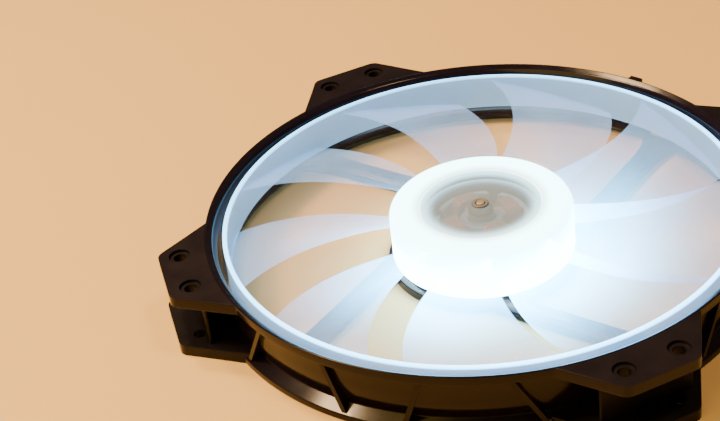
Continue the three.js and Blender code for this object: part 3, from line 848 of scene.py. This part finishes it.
def shaft_pin():
    low, high = span_z("shaft")
    size = radius_of("shaft")
    corners = [(0, low), (size, low), (size, high), (0, high)]
    piece = turned("shaft_pin", rounded(corners, [0, 0.3, 0.3, 0], 5), 64)
    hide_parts("shaft")
    return dress(piece, SHAFT_STEEL, "rotor")


# ---------------------------------------------------------------- motor

def coil_loop(t, inset):
    """Point at turn fraction t on a rounded rectangle round a pole neck, as (y, z)."""
    half_y = COIL_HALF - inset
    low, high = COIL_Z[0] + inset, COIL_Z[1] - inset
    middle, half_z = (low + high) / 2, (high - low) / 2
    angle = 2 * math.pi * t
    power = 0.42
    c, s = math.cos(angle), math.sin(angle)
    y = half_y * math.copysign(abs(c) ** power, c)
    z = middle + half_z * math.copysign(abs(s) ** power, s)
    return y, z


def winding(index):
    """One coil: a wire wound side by side round the pole, over a plain core."""
    name = f"winding_{index + 1}"
    turn = math.radians(POLE_DEG + 360 / POLES * index)
    turns = int((COIL_X[1] - COIL_X[0] - 2 * WIRE_R) / (2 * WIRE_R))
    curve = bpy.data.curves.new(name, "CURVE")
    curve.dimensions = "3D"
    curve.bevel_depth = WIRE_R * MM
    curve.bevel_resolution = 2
    line = curve.splines.new("POLY")
    line.points.add(turns * WIRE_STEPS)
    for k in range(turns * WIRE_STEPS + 1):
        t = k / WIRE_STEPS
        y, z = coil_loop(t % 1, WIRE_R)
        x = COIL_X[0] + WIRE_R + 2 * WIRE_R * t
        line.points[k].co = (x * MM, y * MM, z * MM, 1)
    rope = link(name, curve)
    graph = bpy.context.evaluated_depsgraph_get()
    wire = link(name + "_wire", bpy.data.meshes.new_from_object(rope.evaluated_get(graph)))
    bpy.data.objects.remove(rope)

    def place(u, v, side):
        inset = 0.35 if side > 0 else 2.3
        y, z = coil_loop(u, inset)
        x = COIL_X[0] + 0.2 + (COIL_X[1] - COIL_X[0] - 0.4) * v
        return x, y, z

    piece = join(wire, [ring_sheet(name + "_core", 36, place)])
    piece.name = name
    piece.data.transform(Matrix.Rotation(turn, 4, "Z"))
    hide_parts(f"coil_{index + 1}")
    return dress(piece, COPPER, "housing")


def ring_sheet(name, steps, place):
    """Closed band: u runs round, v across, side is inner or outer."""
    bm = bmesh.new()
    rows = {}
    for side in (1, -1):
        for v in (0, 1):
            rows[side, v] = [bm.verts.new(place(i / steps, v, side)) for i in range(steps)]
    order = [(1, 0), (1, 1), (-1, 1), (-1, 0)]
    for here, there in zip(order, order[1:] + order[:1]):
        for i in range(steps):
            j = (i + 1) % steps
            bm.faces.new((rows[here][i], rows[here][j], rows[there][j], rows[there][i]))
    return from_bmesh(name, bm)


def label():
    """The sticker in the pocket under the motor base."""
    low, high = LABEL_Z
    corners = [(0, low), (LABEL_R, low), (LABEL_R, high), (0, high)]
    piece = turned("blank_sticker", rounded(corners, [0, 0.1, 0.1, 0], 2), 128)
    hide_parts("rear_label")
    return dress(piece, LABEL, "housing")


def finish_cad_nodes():
    """Gives every CAD node that stays in view its procedural material."""
    finishes = {
        "bearing_tube": BRASS, "sleeve_bearing": BRONZE, "thrust_pad": WHITE,
        "retaining_clip": DARK, "oil_seal": DARK, "stator_core": STEEL,
        "insulator_upper": WHITE, "insulator_lower": WHITE, "motor_board": BOARD,
        "hall_sensor": DARK, "driver_chip": DARK, "capacitor": STEEL,
        "flux_ring": STEEL, "magnet_ring": FERRITE,
    }
    finishes.update({f"led_{i}": LENS for i in range(1, 9)})
    for node, material in finishes.items():
        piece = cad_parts[node]
        piece.data.materials.clear()
        piece.data.materials.append(material)


# ---------------------------------------------------------------- studio

def studio_floor():
    bm = bmesh.new()
    size = 4000
    bm.faces.new([bm.verts.new((x, y, -0.05)) for x, y in
                  ((-size, -size), (size, -size), (size, size), (-size, size))])
    floor = from_bmesh("floor", bm)
    floor.data.materials.append(pale_floor())


def soft_light(name, azimuth, elevation, distance, size, power, colour):
    """A softbox aimed at the fan from a direction given in degrees, with metres and watts."""
    data = bpy.data.lights.new(name, "AREA")
    data.shape = "RECTANGLE"
    data.size, data.size_y = size
    data.energy = power
    data.color = colour
    light = link(name, data)
    a, e = math.radians(azimuth), math.radians(elevation)
    away = Vector((math.cos(a) * math.cos(e), math.sin(a) * math.cos(e), math.sin(e)))
    light.location = away * distance
    light.rotation_euler = (-away).to_track_quat("-Z", "Y").to_euler()


def studio_lights():
    soft = (1.0, 0.63, 0.33)
    soft_light("key", -112, 46, 0.75, (0.5, 0.5), 3.0, (1.0, 0.60, 0.10))
    soft_light("window_left", -152.6, 53.6, 1.03, (0.25, 0.20), 21.0, soft)
    soft_light("window_right", -2.0, 70.1, 1.72, (0.26, 0.26), 15.0, soft)
    soft_light("window_far", 161.6, 62.0, 1.75, (0.25, 0.28), 25.0, soft)
    world = bpy.data.worlds.new("studio")
    world.use_nodes = True
    background = world.node_tree.nodes["Background"]
    background.inputs["Color"].default_value = (1.0, 0.72, 0.48, 1)
    background.inputs["Strength"].default_value = 0.14
    bpy.context.scene.world = world


def studio_camera():
    azimuth, elevation, roll = math.radians(28.93), math.radians(33.23), math.radians(-7.62)
    distance = 0.5815
    target = Vector((-0.0392, -0.0186, FRAME_H * MM))
    forward = Vector((-math.sin(azimuth) * math.cos(elevation),
                      math.cos(azimuth) * math.cos(elevation), -math.sin(elevation)))
    level = Vector((math.cos(azimuth), math.sin(azimuth), 0))
    upright = level.cross(forward)
    right = level * math.cos(roll) + upright * math.sin(roll)
    up = upright * math.cos(roll) - level * math.sin(roll)
    data = bpy.data.cameras.new("camera")
    data.lens = 80.6
    data.sensor_width = 36
    data.clip_start = 0.01
    camera = link("camera", data)
    axes = Matrix((right, up, -forward)).transposed()
    camera.matrix_world = Matrix.Translation(target - forward * distance) @ axes.to_4x4()
    bpy.context.scene.camera = camera


# ---------------------------------------------------------------- build

studio_camera()
frame_body()
for i in range(BLADES):
    blade(i)
shroud()
hub_shell()
window_disc()
bush()
shaft_pin()
for i in range(POLES):
    winding(i)
label()
finish_cad_nodes()
studio_floor()
studio_lights()
